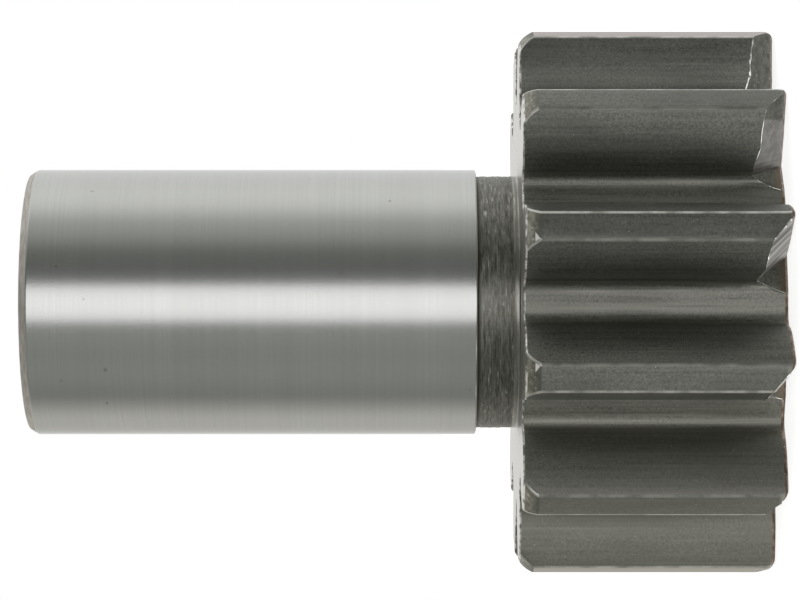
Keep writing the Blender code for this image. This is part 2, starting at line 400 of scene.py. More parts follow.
shank_top = Vector((SHANK_RADIUS, TOTAL_LENGTH - SHANK_CHAMFER_LENGTH))
chamfer_top = Vector((SHANK_RADIUS - SHANK_CHAMFER_DEPTH, TOTAL_LENGTH))
mouth_edge = Vector((BORE_RADIUS + BORE_CHAMFER, TOTAL_LENGTH))
mouth_foot = Vector((BORE_RADIUS, TOTAL_LENGTH - BORE_CHAMFER))
below = Vector((SHANK_RADIUS, ground_end))
for radius, height in soft_corner(below, shank_top, chamfer_top, EDGE_ROUND):
    station(round_ring(height, radius), "ground")
for radius, height in soft_corner(shank_top, chamfer_top, mouth_edge, EDGE_ROUND):
    station(round_ring(height, radius), "end")
station(round_ring(TOTAL_LENGTH, chamfer_top.x - EDGE_ROUND - HOLD), "end")
station(round_ring(TOTAL_LENGTH, mouth_edge.x + EDGE_ROUND + HOLD), "end")
for radius, height in soft_corner(chamfer_top, mouth_edge, mouth_foot, EDGE_ROUND):
    station(round_ring(height, radius), "bored")
station(round_ring(mouth_foot.y, mouth_foot.x), "bored")
station(round_ring(mouth_foot.y - HOLD, mouth_foot.x), "bored")
station(round_ring(BORE_CHAMFER + HOLD, BORE_RADIUS), "bored")
print("stations in all:", len(stations))

# %% [markdown]
# ## Skinning the stations
#
# In Blender this is one circle that is extruded again and again. Each vertex of the circle
# carries its number in an attribute. An extrusion copies that number to the new vertex, so
# after every extrusion each new vertex can be put on its own point of the next station. The
# last ring is then bridged to the first, and the skin is closed.

# %% Draw the skin
MATERIAL_NAMES = {
    "bored": "bored_steel",
    "front": "faced_steel_with_a_rust_bloom",
    "rim": "rust_tinted_steel_edge",
    "flank": "hobbed_hardened_steel",
    "root": "hobbed_hardened_steel_root",
    "land": "turned_hardened_steel",
    "corner": "turned_steel_chamfer_with_stains",
    "nick": "knocked_steel_with_painted_highlight",
    "worn": "edge_steel_with_painted_highlight",
    "dull": "edge_steel_with_weak_painted_highlight",
    "back": "faced_bright_steel",
    "brink": "steel_edge_with_a_turned_burr",
    "neck": "rough_turned_oxidised_steel",
    "ground": "ground_steel",
    "end": "turned_steel_chamfer",
    "milled": "milled_steel",
    "floor": "milled_steel_floor",
    "burr": "fresh_steel_burr",
}
FINISHES = list(MATERIAL_NAMES)


def start_ring(name, points):
    """A circle primitive in edit mode, with a numbered vertex on each point."""
    bpy.ops.object.select_all(action="DESELECT")
    bpy.ops.mesh.primitive_circle_add(vertices=len(points), radius=points[0].length)
    ring = bpy.context.object
    ring.name = ring.data.name = name
    places = ring.data.attributes.new("place", "INT", "POINT")
    places.data.foreach_set("value", range(len(points)))
    for vert, point in zip(ring.data.vertices, points):
        vert.co = point
    bpy.ops.object.mode_set(mode="EDIT")
    bpy.ops.mesh.select_all(action="SELECT")
    return ring


def draw_ring(points):
    """Extrudes the selected ring and puts every new vertex on its own point."""
    bpy.ops.mesh.extrude_region_move()
    mesh = bmesh.from_edit_mesh(bpy.context.edit_object.data)
    place = mesh.verts.layers.int["place"]
    for vert in mesh.verts:
        if vert.select:
            vert.co = points[vert[place]]
    bmesh.update_edit_mesh(bpy.context.edit_object.data)


pinion = start_ring("pinion", stations[0][0])
for ring, finish in stations[1:]:
    draw_ring(ring)

skin = bmesh.from_edit_mesh(pinion.data)
ends = [edge for edge in skin.edges if len(edge.link_faces) == 1]
bpy.ops.mesh.select_all(action="DESELECT")
bpy.context.tool_settings.mesh_select_mode = (False, True, False)
for edge in ends:
    edge.select = True
bmesh.update_edit_mesh(pinion.data)
bpy.ops.mesh.bridge_edge_loops()
bpy.ops.mesh.select_all(action="SELECT")
bpy.ops.mesh.normals_make_consistent(inside=False)
bpy.ops.object.mode_set(mode="OBJECT")
print("faces of the skin:", len(pinion.data.polygons))

# %% [markdown]
# ## Which finish is where
#
# The faces were made station by station, so the finish of a face follows from its place in
# that order. Each finish gets a material slot of its own, and the cells on steel fill them.
# Along the teeth a face's place in the ring counts too. The flank and the root are cut by the
# hob, the tip land is still the turned surface of the blank, and the small round between flank
# and land is painted pale as a painted highlight: strongly on most edges, including those turned
# away from the front lamp, and weakly on a listed few, among them those that face it. At the
# back, where the tips are chamfered, some corners were knocked, and there a white triangle is
# painted on as a highlight.

# %% Give every face its finish
materials = {name: bpy.data.materials.new(MATERIAL_NAMES[name]) for name in FINISHES}
for name in FINISHES:
    pinion.data.materials.append(materials[name])
FLANK_START = ROOT_STEPS + FILLET_STEPS
EDGE_ROUND_START = FLANK_START + FLANK_STEPS
LAND_START = EDGE_ROUND_START + EDGE_STEPS
# Edges whose painted highlight is weaker; the visible ones among them face the front lamp.
WEAKLY_HIGHLIT_EDGES = {2, 5, 9, 15, 17, 18, 20}
KNOCKED_HIGHLIT_EVERY = 4
KNOCKED_HIGHLIT_GAP = 1
KNOCKED_HIGHLIT_ROWS = 4


def tooth_finish(face, places):
    """The finish of a face on the teeth, from how far its edge is from the middle of the gap."""
    numbers = [places[vertex].value for vertex in face.vertices]
    if max(numbers) - min(numbers) > 1:
        return "root"
    from_gap = min(numbers) % (2 * HALF_COUNT)
    from_gap = min(from_gap, 2 * HALF_COUNT - 1 - from_gap)
    if from_gap < FLANK_START:
        return "root"
    if from_gap < EDGE_ROUND_START:
        return "flank"
    if from_gap >= LAND_START:
        return "land"
    # The round between flank and land carries a painted highlight, weaker on the listed edges.
    return "dull" if min(numbers) // HALF_COUNT in WEAKLY_HIGHLIT_EDGES else "worn"


def corner_finish(face, places, row):
    """The finish where the tip is chamfered, with knocked corners carrying a painted highlight in
    some of the gaps.
    """
    finish = tooth_finish(face, places)
    if finish == "dull":
        return "worn"
    if finish != "land":
        return finish
    first = min(places[vertex].value for vertex in face.vertices)
    gap = (first + HALF_COUNT) // (2 * HALF_COUNT)
    from_gap = first % (2 * HALF_COUNT)
    from_gap = min(from_gap, 2 * HALF_COUNT - 1 - from_gap)
    at_corner = row < KNOCKED_HIGHLIT_ROWS and from_gap <= LAND_START + 1
    return "nick" if at_corner and gap % KNOCKED_HIGHLIT_EVERY == KNOCKED_HIGHLIT_GAP else "corner"


corner_row = [finish for _, finish in stations].index("corner")
places = pinion.data.attributes["place"].data
for number, face in enumerate(pinion.data.polygons):
    row = number // RING_COUNT
    finish = stations[row + 1][1] if row + 1 < len(stations) else "bored"
    if finish == "tooth":
        finish = tooth_finish(face, places)
    elif finish == "corner":
        finish = corner_finish(face, places, row + 1 - corner_row)
    face.material_index = FINISHES.index(finish)
for i, name in enumerate(FINISHES):
    print(name, sum(face.material_index == i for face in pinion.data.polygons), "faces")

# %% [markdown]
# ## The lead-ins
#
# The pinion is thrown sideways into the ring gear, so the end of every tooth has one flank
# milled away at a slant, like the point of a key. Two passes of the cutter leave two facets,
# which meet in a ridge, and a small floor at the root. Here a cutter is drawn as a stack of
# sections and subtracted with a Boolean. Its wall ripples a little, because a milling cutter
# leaves streaks along its path, and it widens at the very end, where the edge is worn round.
# In a cutter's section +X runs up the middle of the tooth, and each point of the wall goes
# from its place on the end face to its place on the flank as the section rises.

# %% Cut the lead-ins
LEAD_IN_REACH_AT_FOOT = 2.45 * MM
LEAD_IN_REACH_AT_RIDGE = 2.05 * MM
LEAD_IN_REACH_AT_TIP = 1.7 * MM
FOOT_AT_FACE = Vector((ROOT_RADIUS - 0.6 * MM, -0.5 * MM))
RIDGE_AT_FACE = Vector((ROOT_RADIUS + 1.9 * MM, -0.1 * MM))
CREST_AT_FACE = Vector((TIP_RADIUS, 1.0 * MM))
FOOT_ABOVE_ROOT = 0.6 * MM
RIDGE_ABOVE_ROOT = 3.2 * MM
CUTTER_OVERRUN = 0.2 * MM
FACE_WEAR = 0.2 * MM
LOWER_STEPS = 7
UPPER_STEPS = 12
FLOOR_STEPS = 4
RIPPLE = 0.02 * MM
RIPPLE_PACE = 0.83
RIPPLE_SEED = 1.7


def on_flank(radius):
    """The flank at this radius, where +X runs up the middle of the tooth."""
    return polar(radius, -half_tooth(radius))


def facet(start, end, steps, wear):
    """Points of one wall facet from start to end, moved into the tooth by wear and a ripple."""
    along = end - start
    inward = Vector((-along.y, along.x)).normalized()
    points = []
    for i in range(steps + 1):
        place = Vector((i * RIPPLE_PACE, steps * RIPPLE_SEED, RIPPLE_SEED))
        ripple = RIPPLE * noise.noise(place) if 0 < i < steps else 0
        points.append(start + along * i / steps + inward * (ripple + wear))
    return points


def lead_in_ring(height):
    """The cutter's section: a wall of two facets, then round through the gap to the floor."""
    foot_on_flank = on_flank(ROOT_RADIUS + FOOT_ABOVE_ROOT)
    ridge_on_flank = on_flank(ROOT_RADIUS + RIDGE_ABOVE_ROOT)
    foot = FOOT_AT_FACE.lerp(foot_on_flank, height / LEAD_IN_REACH_AT_FOOT)
    ridge = RIDGE_AT_FACE.lerp(ridge_on_flank, height / LEAD_IN_REACH_AT_RIDGE)
    crest = CREST_AT_FACE.lerp(on_flank(TIP_RADIUS), height / LEAD_IN_REACH_AT_TIP)
    past_tip = crest + (crest - ridge).normalized() * FRONT_TIP_ROUND
    wear = max(0.0, FACE_WEAR - height)
    lower = Vector((wear, 0))
    gap_middle = -PITCH_ANGLE / 2
    floor_end = polar(ROOT_RADIUS + CUTTER_OVERRUN, gap_middle)
    points = facet(foot, ridge, LOWER_STEPS, wear)
    points += facet(ridge, past_tip, UPPER_STEPS, wear)[1:]
    points.append(polar(TIP_RADIUS / math.cos(gap_middle), gap_middle))
    points += [floor_end.lerp(foot, i / FLOOR_STEPS) - lower for i in range(FLOOR_STEPS)]
    points[0] -= lower
    return [Vector((*point, height)) for point in points]


LEAD_IN_STATIONS = 9
cut_top = LEAD_IN_REACH_AT_FOOT + CUTTER_OVERRUN
cut_heights = [0.0, FACE_WEAR] + [
    FACE_WEAR + (cut_top - FACE_WEAR) * i / LEAD_IN_STATIONS for i in range(1, LEAD_IN_STATIONS + 1)
]
cutter = start_ring("lead_in_cutter", lead_in_ring(-CUTTER_OVERRUN))
bpy.ops.mesh.edge_face_add()
for height in cut_heights:
    draw_ring(lead_in_ring(height))
bpy.ops.mesh.select_all(action="SELECT")
bpy.ops.mesh.normals_make_consistent(inside=False)
bpy.ops.object.mode_set(mode="OBJECT")

CUTTER_FINISHES = ["milled", "floor", "rim"]
for name in CUTTER_FINISHES:
    cutter.data.materials.append(materials[name])
numbers = cutter.data.attributes["place"].data
for face in cutter.data.polygons:
    places = [numbers[vertex].value for vertex in face.vertices]
    on_floor = max(places) > LOWER_STEPS + UPPER_STEPS
    finish = "rim" if face.center.z < FACE_WEAR else "floor" if on_floor else "milled"
    face.material_index = CUTTER_FINISHES.index(finish)
cutter.data.transform(Matrix.Rotation(PITCH_ANGLE / 2, 4, "Z"))
bpy.ops.object.mode_set(mode="EDIT")
bpy.ops.mesh.select_all(action="SELECT")
bpy.ops.mesh.spin(
    steps=TEETH - 1, dupli=True, angle=PITCH_ANGLE * (TEETH - 1), center=(0, 0, 0), axis=(0, 0, 1)
)
bpy.ops.mesh.select_all(action="SELECT")
bpy.ops.mesh.normals_make_consistent(inside=False)
bpy.ops.object.mode_set(mode="OBJECT")

bpy.ops.object.select_all(action="DESELECT")
pinion.select_set(True)
bpy.context.view_layer.objects.active = pinion
cut = pinion.modifiers.new("lead_ins", "BOOLEAN")
cut.operation = "DIFFERENCE"
cut.solver = "MANIFOLD"
cut.object = cutter
cut.material_mode = "TRANSFER"
bpy.ops.object.modifier_apply(modifier=cut.name)
bpy.data.objects.remove(cutter, do_unlink=True)
bpy.ops.object.shade_smooth_by_angle(angle=math.radians(30))
print("faces after the lead-ins:", len(pinion.data.polygons))

# %% [markdown]
# ## Burrs
#
# A milling cutter pushes a thin lip of steel over the edge where it leaves the tooth. The lip
# breaks off here and there, so what is left is a dashed, bright line. It lies on known edges,
# between what the mill cut and what was there before, so those edges are copied, turned into
# a curve with a round section, and made thinner and thicker by a noise. On one tooth in four
# most of the lip has broken off.

# %% Raise the burrs
BURR_RADIUS = 0.08 * MM
BURR_NOISE_PER_METRE = 1 / (0.9 * MM)
BURR_SHIFT = Vector((10.9, 38.7, 23.5))
MEAN_THICKNESS = 0.3
THICKNESS_SWING = 2.6
THINNEST = 0.08
THICKEST = 1.1
BROKEN_EVERY = 4
BROKEN_TOOTH = 2
BROKEN_SHARE = 0.4

cut_skin = {FINISHES.index(name) for name in ("milled", "floor")}
old_skin = {FINISHES.index(name) for name in ("flank", "root", "worn", "dull", "land")}
bpy.ops.object.mode_set(mode="EDIT")
bpy.ops.mesh.select_all(action="DESELECT")
bpy.context.tool_settings.mesh_select_mode = (False, True, False)
skin = bmesh.from_edit_mesh(pinion.data)
for edge in skin.edges:
    sides = {face.material_index for face in edge.link_faces}
    edge.select = bool(sides & cut_skin) and bool(sides & old_skin)
bmesh.update_edit_mesh(pinion.data)
bpy.ops.mesh.duplicate()
bpy.ops.mesh.separate(type="SELECTED")
bpy.ops.object.mode_set(mode="OBJECT")
burr = next(thing for thing in bpy.context.selected_objects if thing is not pinion)
bpy.ops.object.select_all(action="DESELECT")
burr.select_set(True)
bpy.context.view_layer.objects.active = burr
bpy.ops.object.convert(target="CURVE")
burr = bpy.context.object
burr.data.bevel_depth = BURR_RADIUS
burr.data.bevel_resolution = 1
for spline in burr.data.splines:
    for point in spline.points:
        tooth = int(math.atan2(point.co.y, point.co.x) // PITCH_ANGLE) % TEETH
        lip = noise.noise(Vector(point.co[:3]) * BURR_NOISE_PER_METRE + BURR_SHIFT)
        thickness = MEAN_THICKNESS + THICKNESS_SWING * lip
        kept = BROKEN_SHARE if tooth % BROKEN_EVERY == BROKEN_TOOTH else 1.0
        point.radius = kept * min(THICKEST, max(THINNEST, thickness))
bpy.ops.object.convert(target="MESH")
burr = bpy.context.object
burr.data.materials.clear()
burr.data.materials.append(materials["burr"])
print("faces of the burrs:", len(burr.data.polygons))
pinion.select_set(True)
bpy.context.view_layer.objects.active = pinion
bpy.ops.object.join()

# %% [markdown]
# ## Helpers for steel
#
# Colours are written as sRGB hex, as a colour picker shows them, and one function turns them
# to the linear values that shaders use. One more function adds a node with its settings and
# its links. The rest are small words for what the recipes below say again and again: a grain,
# rings round the shaft, a span of a value, a blend of two colours, a bump.

# %% Colour and node helpers


def linear(code):
    """An sRGB hex code as linear RGBA."""
    channels = [int(code[i : i + 2], 16) / 255 for i in (1, 3, 5)]
    return [c / 12.92 if c <= 0.04045 else ((c + 0.055) / 1.055) ** 2.4 for c in channels] + [1.0]


def add(tree, kind, inputs=None, **settings):
    """Adds a node: settings are its own properties, inputs are values or sockets that feed it."""
    made = tree.nodes.new(kind)
    for name, value in settings.items():
        setattr(made, name, value)
    for key, value in (inputs or {}).items():
        if isinstance(value, bpy.types.NodeSocket):
            tree.links.new(value, made.inputs[key])
        else:
            made.inputs[key].default_value = value
    return made


def steel(name, colour, roughness, **more):
    """Clears the material's tree down to a metal shader and an output, and returns both."""
    material = materials[name]
    material.use_nodes = True
    tree = material.node_tree
    tree.nodes.clear()
    inputs = {"Base Color": linear(colour), "Roughness": roughness, "Metallic": 1.0, **more}
    shader = add(tree, "ShaderNodeBsdfPrincipled", inputs)
    add(tree, "ShaderNodeOutputMaterial", {"Surface": shader.outputs["BSDF"]})
    return tree, shader


def grain(tree, stretch, detail=3.0, seed=0.0):
    """Noise in the piece's own space. Stretch is in cycles for each millimetre of x, y and z."""
    where = add(tree, "ShaderNodeTexCoord").outputs["Object"]
    scaled = add(
        tree,
        "ShaderNodeVectorMath",
        {0: where, 1: [cycles / MM for cycles in stretch], 2: (seed, seed, seed)},
        operation="MULTIPLY_ADD",
    )
    made = add(
        tree, "ShaderNodeTexNoise", {"Vector": scaled.outputs[0], "Scale": 1.0, "Detail": detail}
    )
    return made.outputs["Fac"]


def span(tree, value, start, end, low=0.0, high=1.0):
    """Maps the part of value between start and end onto low to high, and holds it beyond."""
    inputs = {"Value": value, "From Min": start, "From Max": end, "To Min": low, "To Max": high}
    return add(tree, "ShaderNodeMapRange", inputs).outputs["Result"]


def blend(tree, share, low, high):
    """A colour between low and high, which are hex codes or sockets."""
    low = linear(low) if isinstance(low, str) else low
    high = linear(high) if isinstance(high, str) else high
    mixed = add(tree, "ShaderNodeMix", {"Factor": share, "A": low, "B": high}, data_type="RGBA")
    return mixed.outputs["Result"]


def along(tree, axis):
    """How far along an axis of the piece the point is, in metres."""
    where = add(tree, "ShaderNodeTexCoord").outputs["Object"]
    return add(tree, "ShaderNodeSeparateXYZ", {"Vector": where}).outputs[axis]


def from_shaft(tree, lanes_per_metre, slant=0.0, detail=2.0):
    """Noise that changes only with the distance from the shaft line, plus slant times Z."""
    where = add(tree, "ShaderNodeTexCoord").outputs["Object"]
    flat = add(tree, "ShaderNodeVectorMath", {0: where, 1: (1, 1, 0)}, operation="MULTIPLY")
    radius = add(tree, "ShaderNodeVectorMath", {0: flat.outputs[0]}, operation="LENGTH")
    slanted = add(
        tree,
        "ShaderNodeMath",
        {0: along(tree, "Z"), 1: slant, 2: radius.outputs["Value"]},
        operation="MULTIPLY_ADD",
    )
    lanes = add(
        tree, "ShaderNodeMath", {0: slanted.outputs[0], 1: lanes_per_metre}, operation="MULTIPLY"
    )
    inputs = {"W": lanes.outputs[0], "Scale": 1.0, "Detail": detail}
    return add(tree, "ShaderNodeTexNoise", inputs, noise_dimensions="1D").outputs["Fac"]


def feed(tree, shader, **sockets):
    """Links sockets to the shader's inputs. Underscores stand for spaces."""
    for name, socket in sockets.items():
        tree.links.new(socket, shader.inputs[name.replace("_", " ")])


def bump(tree, shader, height, depth, strength=0.5):
    """Roughens the shading. Depth is the real depth of the relief."""
    inputs = {"Height": height, "Distance": depth, "Strength": strength}
    feed(tree, shader, Normal=add(tree, "ShaderNodeBump", inputs).outputs["Normal"])


# %% [markdown]
# ## Ground steel
#
# A grinding wheel leaves the shank almost a mirror, crossed by lines finer than a tenth of a
# millimetre that run round it. So the noise is drawn out round the shaft: it changes fast along
# the length and hardly at all round it. A second, fine noise frays the edges of the bright
# reflection, and now and then a pit is left that the wheel didn't reach.

# %% Ground shank and its end
tree, shader = steel("ground", "#D0D2CD", 0.24)
lines = grain(tree, (0.05, 0.05, 9.0), detail=2.0)
wide = grain(tree, (0.05, 0.05, 0.6), detail=1.0, seed=3.0)
peel = grain(tree, (7.0, 7.0, 7.0), detail=2.0, seed=8.0)
pits = span(tree, grain(tree, (1.9, 1.9, 1.9), detail=0.0, seed=8.0), 0.86, 0.87)
polish = blend(tree, span(tree, lines, 0.3, 0.7), "#CED0CC", "#D4D5D1")
polish = blend(tree, span(tree, wide, 0.35, 0.65, 0.0, 0.3), polish, "#CACBC7")
feed(
    tree,
    shader,
    Base_Color=blend(tree, pits, polish, "#BAB9B4"),
    Roughness=span(tree, lines, 0.3, 0.7, 0.238, 0.254),
)
bump(tree, shader, peel, 0.0035 * MM, 1.0)

tree, shader = steel("end", "#D2CEC6", 0.55)
marks = grain(tree, (0.9, 0.9, 6.0))
feed(tree, shader, Base_Color=blend(tree, span(tree, marks, 0.35, 0.65), "#C3BFB6", "#DEDBD3"))

# %% [markdown]
# ## Turned steel
#
# The back face was faced on the lathe and stays bright, with rings round the shaft. The neck
# was only roughed out. It is darker, because oxide stays in its grooves, and the crests between
# them are rubbed pale. A narrow collar beside the gear is smoother than the rest. Painted shade
# darkens a narrow band in the corner under the shoulder. The bore is plain turned steel.

# %% Back face, neck and bore
COLLAR_WIDTH = 0.5 * MM
SHOULDER_SHADE_WIDTH = 0.3 * MM
FADE = 0.1 * MM

tree, shader = steel("back", "#C4C2BC", 0.3)
rings = from_shaft(tree, 5.0 / MM)
feed(
    tree,
    shader,
    Base_Color=blend(tree, span(tree, rings, 0.3, 0.7), "#B4B1AA", "#CFCDC8"),
    Roughness=span(tree, rings, 0.3, 0.7, 0.26, 0.36),
)
bump(tree, shader, rings, 0.004 * MM)

tree, shader = steel("neck", "#7C7B74", 0.42)
streaks = grain(tree, (0.9, 0.9, 7.0), detail=5.0)
patches = grain(tree, (0.5, 0.5, 1.3), detail=3.0, seed=5.0)
rubs = grain(tree, (0.8, 0.8, 6.0), detail=3.0, seed=14.0)
specks = grain(tree, (6.0, 6.0, 6.0), detail=2.0, seed=20.0)
skin_colour = blend(tree, span(tree, streaks, 0.34, 0.66), "#66665E", "#9E9E96")
skin_colour = blend(tree, span(tree, patches, 0.5, 0.75, 0.0, 0.5), skin_colour, "#706F67")
skin_colour = blend(tree, span(tree, specks, 0.5, 0.7, 0.0, 0.4), skin_colour, "#57564E")
skin_colour = blend(tree, span(tree, rubs, 0.62, 0.7, 0.0, 0.8), skin_colour, "#CFCEC7")
collar_end = FACE_WIDTH + COLLAR_WIDTH
collar = span(tree, along(tree, "Z"), collar_end, collar_end - FADE)
half_collar = span(tree, collar, 0.0, 1.0, 0.0, 0.4)
# Painted shade: a dark band on the neck just under the shoulder, where the shoulder shades it.
shoulder_shade_start = SHOULDER_HEIGHT - SHOULDER_SHADE_WIDTH
shoulder_shade = span(tree, along(tree, "Z"), shoulder_shade_start, shoulder_shade_start + 2 * FADE)
skin_colour = blend(tree, half_collar, skin_colour, "#C2C2BA")
matt = span(tree, streaks, 0.3, 0.7, 0.36, 0.5)
smooth = add(
    tree, "ShaderNodeMix", {"Factor": collar, "A": matt, "B": 0.27}, data_type="FLOAT"
).outputs["Result"]
feed(tree, shader, Base_Color=blend(tree, shoulder_shade, skin_colour, "#5A5851"), Roughness=smooth)
bump(tree, shader, streaks, 0.008 * MM)

tree, shader = steel("bored", "#8F8E8A", 0.4)
marks = grain(tree, (0.2, 0.2, 5.0))
feed(tree, shader, Base_Color=blend(tree, span(tree, marks, 0.3, 0.7), "#83817C", "#9B9A96"))

# %% [markdown]
# ## Hardened steel
#
# Heat treatment leaves a dark, slightly green-grey skin on the teeth, mottled by a fine grain.
# The hob's strokes show as streaks along the tooth, faint on the flanks and sharp in the root,
# where its tip rubbed. The tip land was turned and wears a film of oil, which is nearly
# invisible from straight above and pale at a glancing angle. Towards one side of the gear the
# skin is a little warmer. The lands farthest out on both sides are painted pale, a painted
# reflection of the white backdrop where they are seen at a glancing angle.

# %% Flanks, roots and lands
WARM_FROM = -6.0 * MM
WARM_FULL = -10.0 * MM
# Painted reflection: the lands farthest out along X are painted pale from here outwards.
SHEEN_FROM = 19.8 * MM
SHEEN_FULL = 1.06 * SHEEN_FROM
GLANCING_SHEENS = {1: "#C6B9B5", -1: "#C9C4B8"}

# For each finish: dark and pale colour, smooth and rough end, share of strokes, film of oil.
HARDENED = {
    "flank": ("#63645E", "#94958D", 0.46, 0.54, 0.3, 0.0),
    "root": ("#65655F", "#9D9D94", 0.44, 0.54, 0.6, 0.0),
    "land": ("#65665F", "#94958D", 0.44, 0.54, 0.25, 0.6),
}
for name, (dark, pale, smooth, rough, stroke_share, oil) in HARDENED.items():
    tree, shader = steel(name, pale, rough, **{"Coat Weight": oil, "Coat Roughness": 0.3})
    strokes = grain(tree, (2.6, 2.6, 0.1), detail=3.0)
    scratches = grain(tree, (5.5, 5.5, 0.07), detail=3.0, seed=15.0)
    clouds = grain(tree, (0.3, 0.3, 0.14), detail=2.0, seed=13.0)
    grains = grain(tree, (6.0, 6.0, 5.0), detail=4.0, seed=2.0)
    sparks = span(tree, grain(tree, (4.5, 4.5, 4.5), detail=1.0, seed=6.0), 0.76, 0.80)
    skin_colour = blend(tree, span(tree, grains, 0.3, 0.7), dark, pale)
    skin_colour = blend(tree, span(tree, clouds, 0.4, 0.65, 0.0, 0.45), skin_colour, dark)
    shown = span(tree, strokes, 0.35, 0.65, 0.0, stroke_share)
    skin_colour = blend(tree, shown, skin_colour, pale)
    shown = span(tree, scratches, 0.6, 0.68, 0.0, 0.6 * stroke_share)
    skin_colour = blend(tree, shown, skin_colour, "#B0B1A8")
    shown = span(tree, scratches, 0.4, 0.32, 0.0, 0.7 * stroke_share)
    skin_colour = blend(tree, shown, skin_colour, "#4E4F48")
    warmth = span(tree, along(tree, "X"), WARM_FROM, WARM_FULL, 0.0, 0.3)
    skin_colour = blend(tree, warmth, skin_colour, "#9B998D")
    if name == "land":
        # Painted reflection of the backdrop on the lands farthest out on each side.
        for side, colour in GLANCING_SHEENS.items():
            sheen_share = span(tree, along(tree, "X"), side * SHEEN_FROM, side * SHEEN_FULL, 0.0, 0.85)
            skin_colour = blend(tree, sheen_share, skin_colour, colour)
    feed(
        tree,
        shader,
        Base_Color=blend(tree, sparks, skin_colour, "#B4B4AC"),
        Roughness=span(tree, grains, 0.3, 0.7, smooth, rough),
    )
    bump(tree, shader, grains, 0.003 * MM, 0.5)

# %% [markdown]
# ## Edges
#
# Edges tell how a piece was handled. The long edges of the tips are painted paler, in dashes,
# as a painted highlight that is weaker on the edges facing the front lamp. Their ends at the back
# are chamfered and stained beige, and some corners there were knocked: a white triangle painted
# on as a highlight, whose near-white steel scatters light almost like paint. The front end stayed
# damp. Its edge took a brown tint of rust, with bright nicks from other pieces in the box, and
# the tint spreads over the faced front in clouds.

# %% Edges with painted highlights, rust-tinted edges and the front face
CORNER_HIGHLIGHT_WIDTH = 0.9 * MM
CORNER_HIGHLIGHT_LENGTH = 0.6 * MM
CORNER_HIGHLIGHT_BACK = 19.51 * MM
STAINS_FULL = 0.5 * MM

# Painted highlight along the tip edges: pale dashes, weaker on the listed edges.
for name, dark, pale, roughness, oil in (
    ("worn", "#A3A39B", "#DAD9D1", 0.42, 0.8),
    ("dull", "#898A82", "#A3A39B", 0.66, 0.0),
):
    tree, shader = steel(name, pale, roughness, **{"Coat Weight": oil, "Coat Roughness": 0.3})
    dashes = grain(tree, (0.9, 0.9, 0.7), detail=3.0, seed=1.0)
    feed(tree, shader, Base_Color=blend(tree, span(tree, dashes, 0.36, 0.6), dark, pale))

tree, shader = steel("brink", "#BDBBB4", 0.36)
breaks = grain(tree, (1.5, 1.5, 1.5), detail=3.0, seed=21.0)
feed(tree, shader, Base_Color=blend(tree, span(tree, breaks, 0.42, 0.56), "#85847C", "#F0EEE7"))

tree, shader = steel("corner", "#8C8C84", 0.46)
stains = grain(tree, (2.4, 2.4, 2.4), detail=4.0, seed=16.0)
rubs = grain(tree, (2.6, 2.6, 1.5), detail=2.0, seed=17.0)
stained = blend(tree, span(tree, stains, 0.35, 0.65), "#7B796D", "#A8A69A")
stained = blend(tree, span(tree, rubs, 0.6, 0.7, 0.0, 0.8), stained, "#CFCCC2")
chamfer_start = FACE_WIDTH - BACK_TIP_CHAMFER
near_back = span(tree, along(tree, "Z"), chamfer_start, FACE_WIDTH - STAINS_FULL)
feed(tree, shader, Base_Color=blend(tree, near_back, "#7B7C74", stained))

# Painted highlight: a near-white, half-matt triangle on knocked corners at the back, bright under
# any lamp.
tree, shader = steel("nick", "#EFECE4", 0.5, Metallic=0.2)
turned = add(
    tree, "ShaderNodeMath", {0: along(tree, "Y"), 1: along(tree, "X")}, operation="ARCTAN2"
)
from_gap = add(
    tree, "ShaderNodeMath", {0: turned.outputs[0], 1: PITCH_ANGLE / 2}, operation="PINGPONG"
)
land_edge = half_space(TIP_RADIUS, 0.0)
beside = span(tree, from_gap.outputs[0], land_edge, land_edge + CORNER_HIGHLIGHT_WIDTH / TIP_RADIUS)
before = span(tree, along(tree, "Z"), CORNER_HIGHLIGHT_BACK, CORNER_HIGHLIGHT_BACK - CORNER_HIGHLIGHT_LENGTH)
away = add(tree, "ShaderNodeMath", {0: beside, 1: before}, operation="ADD")
chips = span(tree, grain(tree, (3.4, 3.4, 3.4), detail=2.0, seed=18.0), 0.25, 0.36)
highlight_colour = blend(tree, chips, "#C9C7BF", "#FAF8F1")
knocked_highlight = span(tree, away.outputs[0], 0.98, 0.9)
feed(tree, shader, Base_Color=blend(tree, knocked_highlight, "#6C6A62", highlight_colour))

tree, shader = steel("rim", "#8A7A6B", 0.45)
cloud = grain(tree, (1.6, 1.6, 1.6), detail=4.0, seed=4.0)
nicks = span(tree, grain(tree, (2.8, 2.8, 2.8), detail=1.0, seed=9.0), 0.70, 0.74)
rust = blend(tree, span(tree, cloud, 0.35, 0.65), "#6A5A4D", "#968A7D")
feed(
    tree,
    shader,
    Base_Color=blend(tree, nicks, rust, "#C9C5BE"),
    Roughness=span(tree, cloud, 0.3, 0.7, 0.5, 0.38),
)

tree, shader = steel("front", "#A5A198", 0.4)
rings = from_shaft(tree, 5.0 / MM)
cloud = grain(tree, (0.4, 0.4, 0.4), detail=5.0, seed=4.0)
faced = blend(tree, span(tree, rings, 0.3, 0.7), "#96928A", "#B9B5AD")
feed(
    tree,
    shader,
    Base_Color=blend(tree, span(tree, cloud, 0.42, 0.66, 0.1, 0.8), faced, "#7A6959"),
    Roughness=span(tree, cloud, 0.4, 0.65, 0.34, 0.52),
)
bump(tree, shader, rings, 0.004 * MM)

# %% [markdown]
# ## Milled steel
#
# The lead-ins were milled after the hob had passed, so they are paler than the flanks, with
# streaks that run the way the cutter went, from the end face into the tooth. On one side of the
# gear a sharper cutter left a plain grey, and near the tips there the lead-in turns darker.
# The floor is darker again and turns brown towards the end face. A burr is clean broken steel
# and shines.

